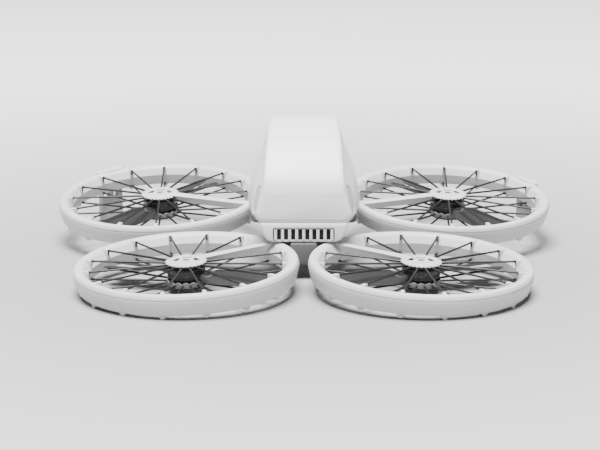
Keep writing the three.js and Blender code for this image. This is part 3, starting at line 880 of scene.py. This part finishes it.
def battery():
    shell = baked(skin(battery_region()), [side_oval(CLIP_AT, CLIP_SIZE, s, CLIP_GAP) for s in (-1, 1)])
    piece(softened(shell, *EASE), "battery_cover", "white_shell", "battery", ["battery_shell"])
    for name, side in SIDES.items():
        clip = skin(side_oval(CLIP_AT, CLIP_SIZE, side), 2.4)
        for v in clip.verts:
            v.co.x -= side * 0.9 * (CLIP_AT[0] + CLIP_SIZE[0] - v.co.y) / (2 * CLIP_SIZE[0])
        piece(softened(clip, 0.35, 3, 50), f"clip_{name}", "pale_plastic", f"battery_clip_{name}",
              [f"battery_clip_{name}"])


def bay_block():
    return cuboid(-BAY_HALF, BAY_HALF, BAY_BACK, 75, BAY_LOW, BAY_HIGH)


def flap_block(grow=0.0):
    (y, z), (a, b) = FLAP_AT, FLAP_SIZE
    return softened(cuboid(-45, -15, y - a - grow, y + a + grow, z - b - grow, z + b + grow), 1.4, 4)


def window_block(grow=0.0):
    return softened(cuboid(-8 - grow, 8 + grow, 48, 75, 60 - grow, 66 + grow), 1.5, 4)


def canopy():
    cuts = [bay_block(), window_block(GAP), side_oval(BUTTON_AT, BUTTON_SIZE, 1, GAP), flap_block(GAP)]
    shell = baked(skin(canopy_region()), cuts)
    piece(capped(softened(shell, *EASE)), "canopy_shell", "white_shell", "body", ["canopy"])
    pane = softened(skin(window_block(), 2.0), 0.2, 2, 50)
    piece(pane, "nose_window", "smoked_window", "body", ["front_window"])
    key = softened(skin(side_oval(BUTTON_AT, BUTTON_SIZE, 1), 2.2), 0.3, 3, 50)
    piece(key, "power_key", "pale_plastic", "power_button", ["power_button"])
    door = softened(skin(flap_block()), 0.25, 2, 50)
    piece(door, "port_cover", "rubber_flap", "port_flap", ["port_flap"])


def chin_outline(inset=0.0, lid=31.0):
    w, floor, bend = CHIN_HALF - inset, CHIN_FLOOR + inset, 5.6 - inset
    right = [(w, lid), (w - 0.1, 28.5), (w - 0.8, 26.4)]
    half = [*right, *arc(bend, 105, 180, 8, (w - bend - 1.6, floor + bend))]
    return half + [(-x, z) for x, z in reversed(half)]


ALONG_Y = Matrix(((1, 0, 0, 0), (0, 0, -1, 0), (0, 1, 0, 0), (0, 0, 0, 1)))


def beam(outline, back, front):
    """An outline of (x, z) drawn along Y."""
    return moved(plate(outline, -front, -back), ALONG_Y)


def chin_room():
    """The hollow of the box under the back of the body."""
    return beam(chin_outline(CHIN_WALL, 33), BACK + CHIN_WALL, CHIN_FRONT - CHIN_WALL)


def lower_shell():
    """The belly tray and the rounded box under the back of the body, with the vent let into it."""
    tray = skin(cuboid(-PAST, PAST, BACK - 5, NOSE + 5, BELLY - 5, SEAM_Z - GAP))
    tray = baked(tray, [bay_block(), chin_room()])
    chin = softened(beam(chin_outline(), BACK, CHIN_FRONT), 1.5, 4, 40)
    mouth = cuboid(-VENT_HALF - 0.3, VENT_HALF + 0.3, BACK - 1, BACK + 3, VENT_LOW - 0.25, VENT_HIGH + 0.3)
    chin = baked(chin, [chin_room(), softened(mouth, 1.1, 3)])
    piece(join(softened(tray, *EASE), chin), "lower_tray", "white_shell", "body", ["lower_shell"])


def vent():
    """The bars of the vent in their frame, and the dark mesh behind them."""
    half, low, high = VENT_HALF - GAP, VENT_LOW + GAP, VENT_HIGH - GAP
    frame_outline = [(-half, low), (half, low), (half, high), (-half, high)]
    w, floor, lid = half - 0.9, low + 0.35, high - 0.35
    opening = [(-w, floor), (w, floor), (w, lid), (-w, lid)]
    surround = moved(plate(frame_outline, 31.9, 32.7, [opening]), ALONG_Y)
    step = 2 * (half - 0.8) / (VENT_RIBS - 1)

    def bar():
        profile = [(-0.8, -32.0), (-0.8, -32.7), (-0.45, -33.0), (0.45, -33.0), (0.8, -32.7), (0.8, -32.0)]
        return plate(profile, low + 0.1, high - 0.1)

    bars = copies(bar, [shift(-half + 0.8 + i * step) for i in range(VENT_RIBS)])
    piece(softened(join(surround, bars), 0.12, 2, 40), "vent_bars", "white_shell", "body", ["vent_grille"])
    screen = softened(cuboid(-half, half, -31.4, -30.9, low, high), 0.1)
    piece(screen, "vent_screen", "screen_black", "body", ())


def lug_pair(hinge, reach):
    near = LEAF / 2 + GAP
    spans = ((-near - LUG, -near), (near, near + LUG))
    lugs = [moved(leaf(reach, low, high, 2.4), turn(LUG_TURN)) for low, high in spans]
    return moved(join(*lugs), hinge)


def brackets(hinges):
    """The two keels under the body that carry the fold hinges."""
    # Both keels take the dark plastic, which here also paints in the shade under the body.
    top = CHIN_FLOOR - GAP
    keel = [(-5.4, 8), (5.4, 8), (7.2, 14), (7.2, top), (-7.2, top), (-7.2, 14)]
    block = softened(beam(keel, -33.0, -25.8), 1.3, 4)
    saddle = softened(cuboid(-8.2, 8.2, -27.8, -19.5, 17, top), 0.7, 3)
    lugs = [below(lug_pair(hinges[f"rear_{side}"], 6.5), top) for side in SIDES]
    piece(join(block, saddle, *lugs), "rear_keel", "dark_plastic_and_shade", "body", ["rear_hinge_bracket"])
    under = BELLY - GAP
    cheeks = [softened(cuboid(*sorted((s * 17.6, s * 22.6)), 30, 42, 21.5, under), 1.2, 4) for s in (-1, 1)]
    bridge = softened(cuboid(-22.6, 22.6, 30, 42, 28.2, under), 0.5, 3)
    lugs = [lug_pair(hinges[f"front_{side}"], 7.5) for side in SIDES]
    piece(join(bridge, *cheeks, *lugs), "front_keel", "dark_plastic_and_shade", "body", ["front_hinge_bracket"])


# ---------- gimbal and camera ----------

def drum(radius, length, along, at, edge=0.3):
    """A turned drum with eased edges, centred at a point, along X, Y or Z."""
    half = length / 2
    bm = turned([(0, -half), (radius - edge, -half), (radius, -half + edge), (radius, half - edge),
                 (radius - edge, half), (0, half)], 56)
    return moved(bm, {"X": turn(90, "Y"), "Y": turn(90, "X"), "Z": Matrix()}[along], shift(*at))


def gimbal():
    z = CAMERA.z
    plate_back = softened(cuboid(-13.5, 13.5, 43.4, 44.8, 33, 58.9), 0.4)
    shelf = softened(cuboid(-10, 10, 44, 56, 57.3, 58.9), 0.4)
    frame_parts = join(plate_back, shelf, drum(4.6, 4.4, "Z", (0, YAW_Y, 55.2)))
    piece(frame_parts, "nose_chassis", "screen_black", "body", ["nose_frame"])
    yaw = join(
        drum(4.6, 1.8, "Z", (0, YAW_Y, 51.8)), softened(cuboid(-3, 3, 47, YAW_Y, 50.9, 52.7), 0.4),
        softened(cuboid(-3, 3, 47, 49, z, 52.7), 0.4), drum(4.6, 2.0, "Y", (0, 48, z)))
    piece(yaw, "yaw_arm", "pale_plastic", "gimbal_yaw", ["gimbal_yaw_arm"])
    roll = join(
        softened(cuboid(-11.6, 3.6, 49.4, 51.4, z - 2.8, z + 2.8), 0.6, 3), drum(4.2, 2.0, "Y", (0, 50.4, z)),
        softened(cuboid(-11.6, -9.6, 49.4, CAMERA.y + 3.4, z - 2.8, z + 2.8), 0.6, 3))
    piece(roll, "roll_arm", "pale_plastic", "gimbal_roll", ["gimbal_roll_arm"])
    face = CAMERA.y + 7.6
    hood = turned([(4.1, -0.8), (4.1, 0), (4.6, 0), (4.9, -0.3), (4.9, -2.2), (4.3, -2.2)], 56)
    housing = join(
        drum(6.8, 15, "X", CAMERA, 0.9), drum(3.4, 2.4, "X", CAMERA + Vector((-8, 0, 0))),
        softened(cuboid(-5.5, 5.5, CAMERA.y, face - 0.8, z - 4.8, z + 4.8), 1.2, 4),
        moved(hood, turn(-90, "X"), shift(0, face, z)))
    piece(housing, "camera_case", "dark_plastic_and_shade", "camera", ["camera_housing"])
    dome = [(0, 0.9), (1.2, 0.82), (2.4, 0.55), (3.3, 0.15), (3.75, -0.2), (3.75, -0.3), (0, -0.3)]
    front = moved(turned(dome, 56), turn(-90, "X"), shift(0, CAMERA.y + 8.2, z))
    piece(front, "lens_front", "lens_glass", "camera", ["camera_lens"])


def belly_sensors():
    bar = softened(cuboid(-8, 8, -4, 22, 28.6, BELLY - GAP), 0.6, 3)
    piece(bar, "belly_window", "smoked_window", "body", ["belly_sensor_bar"])
    eyes = copies(lambda: turned([(0, 28.45), (2.0, 28.45), (2.4, 28.7), (2.4, 28.95), (0, 28.95)], 40),
                  [shift(0, y) for y in (0.5, 9, 17.5)])
    piece(eyes, "belly_eyes", "lens_glass", "body", ())


def hidden_works():
    for node, finish in {"battery_cells": "cell_wrap", "battery_contacts": "brushed_steel",
                         "main_board": "solder_mask", "heat_sink": "cast_alloy"}.items():
        frame["nodes"][node].material_slots[0].material = FINISH[finish]


# ---------- studio ----------

def studio():
    bm = bmesh.new()
    bmesh.ops.create_grid(bm, x_segments=2, y_segments=2, size=9.0)
    mesh = bpy.data.meshes.new("floor")
    bm.to_mesh(mesh)
    bm.free()
    floor = bpy.data.objects.new("floor", mesh)
    bpy.context.scene.collection.objects.link(floor)
    mesh.materials.append(FINISH["studio_floor"])

    world = bpy.data.worlds.new("studio_air")
    bpy.context.scene.world = world
    world.use_nodes = True
    world.node_tree.nodes["Background"].inputs["Color"].default_value = grey(1.0)
    world.node_tree.nodes["Background"].inputs["Strength"].default_value = 0.20

    for name, at, aim, size, power in (
            ("top_softbox", (-0.25, -0.75, 3.3), (0, 0, 0), 2.0, 560),
            ("front_card", (0.9, -1.6, 0.7), (0, 0, 0.03), 0.8, 2.5),
    ):
        light = bpy.data.lights.new(name, "AREA")
        light.size, light.energy = size, power
        holder = bpy.data.objects.new(name, light)
        holder.location = at
        holder.rotation_euler = (Vector(aim) - Vector(at)).to_track_quat("-Z", "Y").to_euler()
        bpy.context.scene.collection.objects.link(holder)

    lens = bpy.data.cameras.new("camera")
    lens.lens, lens.sensor_width = 110.4, 36.0
    lens.clip_start, lens.clip_end = 0.01, 50
    camera = bpy.data.objects.new("camera", lens)
    camera.location = (0.00137, -0.97106, 0.23761)
    camera.rotation_euler = (radians(90 - 12.5), 0, radians(0.203))
    bpy.context.scene.collection.objects.link(camera)
    bpy.context.scene.camera = camera


hinges = {f"{end}_{side}": add_guard(end, side) for end in ENDS for side in SIDES}
battery()
canopy()
lower_shell()
vent()
brackets(hinges)
gimbal()
belly_sensors()
hidden_works()
studio()
